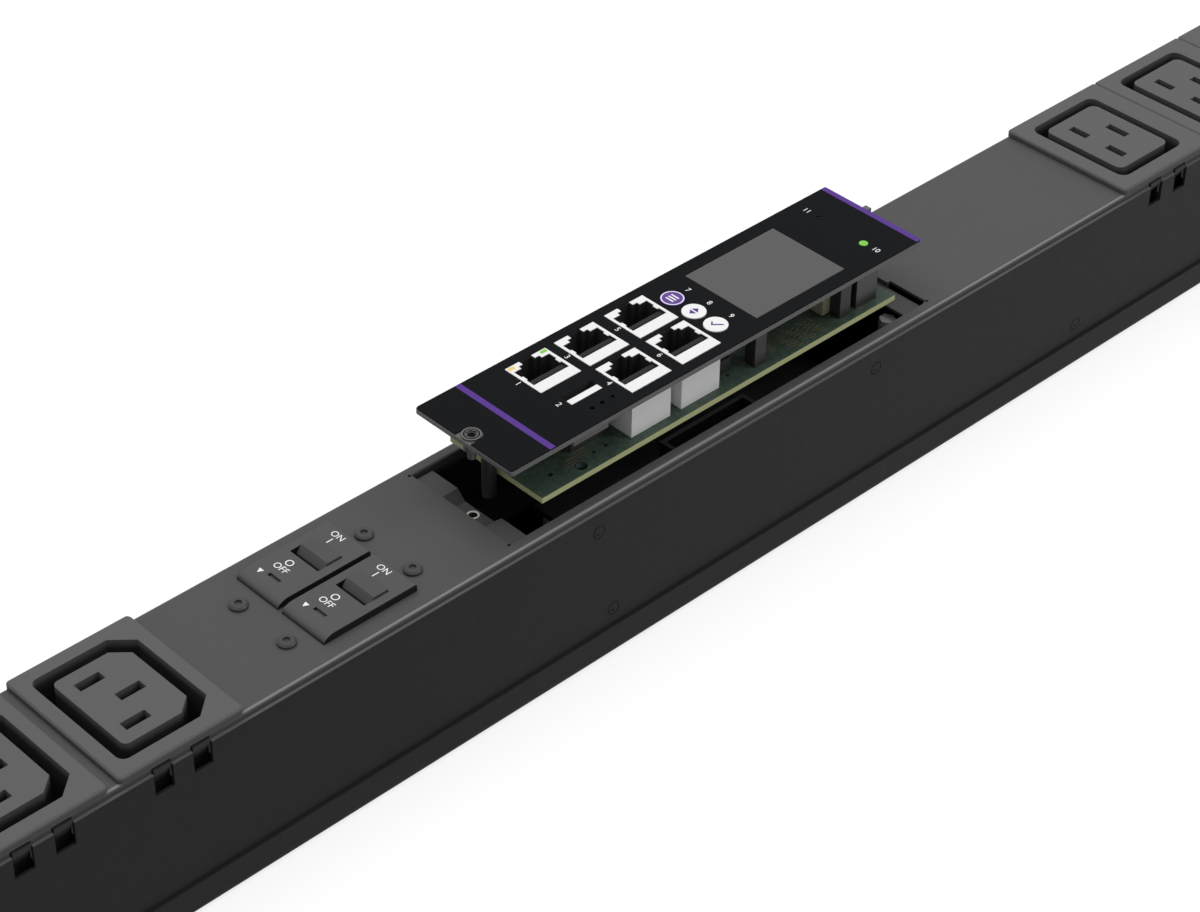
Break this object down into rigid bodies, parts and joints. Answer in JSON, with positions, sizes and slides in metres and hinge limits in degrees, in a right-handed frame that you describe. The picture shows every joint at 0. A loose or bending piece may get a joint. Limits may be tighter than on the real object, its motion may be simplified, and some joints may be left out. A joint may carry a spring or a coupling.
{
  "type": "rack power distribution unit",
  "caption": "Vertical rack power strip: folded steel case with power outlets, twin circuit breakers and a lift-out network controller module.",
  "frame": {"origin": "middle of the flat back face of the case", "axes": "+X along the case towards the large outlets, +Z out of the front with the outlets, +Y across"},
  "size_m": [0.808, 0.0446, 0.0687],
  "materials": {
    "case_front_paint": "fine textured charcoal powder coat on folded steel",
    "case_side_paint": "fine textured black powder coat on folded steel",
    "cap_plastic": "moulded, fine grain",
    "screw_black": "black oxide",
    "gland_plastic": "moulded nylon",
    "seal_rubber": "matt",
    "outlet_plastic": "moulded, fine grain",
    "contact_brass": "stamped, bright",
    "breaker_plastic": "moulded, satin",
    "lever_plastic": "moulded, satin",
    "module_steel": "grey powder coat",
    "label_print": "printed overlay film",
    "display_face": "unlit display window",
    "display_case": "moulded",
    "key_purple": "satin",
    "key_white": "satin",
    "light_green": "clear tinted",
    "jack_white": "moulded",
    "usb_shell": "dark plated",
    "board_green": "solder mask on glass laminate",
    "component_dark": "moulded",
    "spacer_black": "black zinc",
    "bright_steel": "zinc plated",
    "bar_copper": "rolled copper",
    "insulator": "moulded"
  },
  "bodies": {
    "case": {"front_cover": "case_front_paint", "chassis": "case_side_paint", "back_cover": "case_side_paint", "end_cap_left": "cap_plastic", "end_cap_right": "cap_plastic", "end_screws": "screw_black", "side_screws": "screw_black", "gland_body": "gland_plastic", "gland_nut": "gland_plastic", "gland_locknut": "gland_plastic", "gland_seal": "seal_rubber", "outlet_contacts": "contact_brass", "breaker_1": "breaker_plastic", "breaker_2": "breaker_plastic", "breaker_screws": "screw_black", "dock_socket": "component_dark", "dock_board": "board_green", "dock_posts": "spacer_black", "threaded_insert": "bright_steel", "bus_bar_line": "bar_copper", "bus_bar_neutral": "bar_copper", "bus_bar_earth": "bar_copper", "bus_supports": "insulator", "feed_conductors": "bar_copper", "terminal_block": "insulator", "earth_stud": "bright_steel", "c13_outlet_1": "outlet_plastic", "c13_outlet_2": "outlet_plastic", "c13_outlet_3": "outlet_plastic", "c13_outlet_4": "outlet_plastic", "c13_outlet_5": "outlet_plastic", "c13_outlet_6": "outlet_plastic", "c13_outlet_7": "outlet_plastic", "c13_outlet_8": "outlet_plastic", "c19_outlet_1": "outlet_plastic", "c19_outlet_2": "outlet_plastic", "c19_outlet_3": "outlet_plastic", "c19_outlet_4": "outlet_plastic"},
    "module": {"module_plate": "module_steel", "module_label": "label_print", "display_window": "display_face", "display_panel": "display_case", "status_light": "light_green", "jack_ethernet": "jack_white", "jack_in": "jack_white", "jack_sensor_1": "jack_white", "jack_out": "jack_white", "jack_sensor_2": "jack_white", "usb_port": "usb_shell", "module_board": "board_green", "board_parts": "component_dark", "module_spacers": "spacer_black", "captive_screw": "bright_steel", "module_plug": "component_dark"},
    "menu_key": {"menu_button": "key_purple"},
    "scroll_key": {"scroll_button": "key_white"},
    "select_key": {"select_button": "key_white"},
    "reset_plunger": {"reset_button": "display_case"},
    "lever_1": {"breaker_lever_1": "lever_plastic"},
    "lever_2": {"breaker_lever_2": "lever_plastic"}
  },
  "joints": [
    {"name": "module_slide", "type": "slide", "parent": "case", "child": "module", "axis": [0, 0, 1], "range_m": [-0.02, 0]},
    {"name": "menu_press", "type": "slide", "parent": "module", "child": "menu_key", "axis": [0, 0, 1], "range_m": [-0.0005, 0], "stiffness_N_per_m": 1000, "springref_m": 0.0005},
    {"name": "scroll_press", "type": "slide", "parent": "module", "child": "scroll_key", "axis": [0, 0, 1], "range_m": [-0.0005, 0], "stiffness_N_per_m": 1000, "springref_m": 0.0005},
    {"name": "select_press", "type": "slide", "parent": "module", "child": "select_key", "axis": [0, 0, 1], "range_m": [-0.0005, 0], "stiffness_N_per_m": 1000, "springref_m": 0.0005},
    {"name": "reset_press", "type": "slide", "parent": "module", "child": "reset_plunger", "axis": [0, 0, 1], "range_m": [-0.0003, 0], "stiffness_N_per_m": 1000, "springref_m": 0.0004},
    {"name": "lever_1_throw", "type": "hinge", "parent": "case", "child": "lever_1", "pos_m": [-0.0393, 0.00815, 0.0445], "axis": [0, 1, 0], "range_deg": [-12, 0]},
    {"name": "lever_2_throw", "type": "hinge", "parent": "case", "child": "lever_2", "pos_m": [-0.0393, -0.00815, 0.0445], "axis": [0, 1, 0], "range_deg": [-12, 0]}
  ]
}
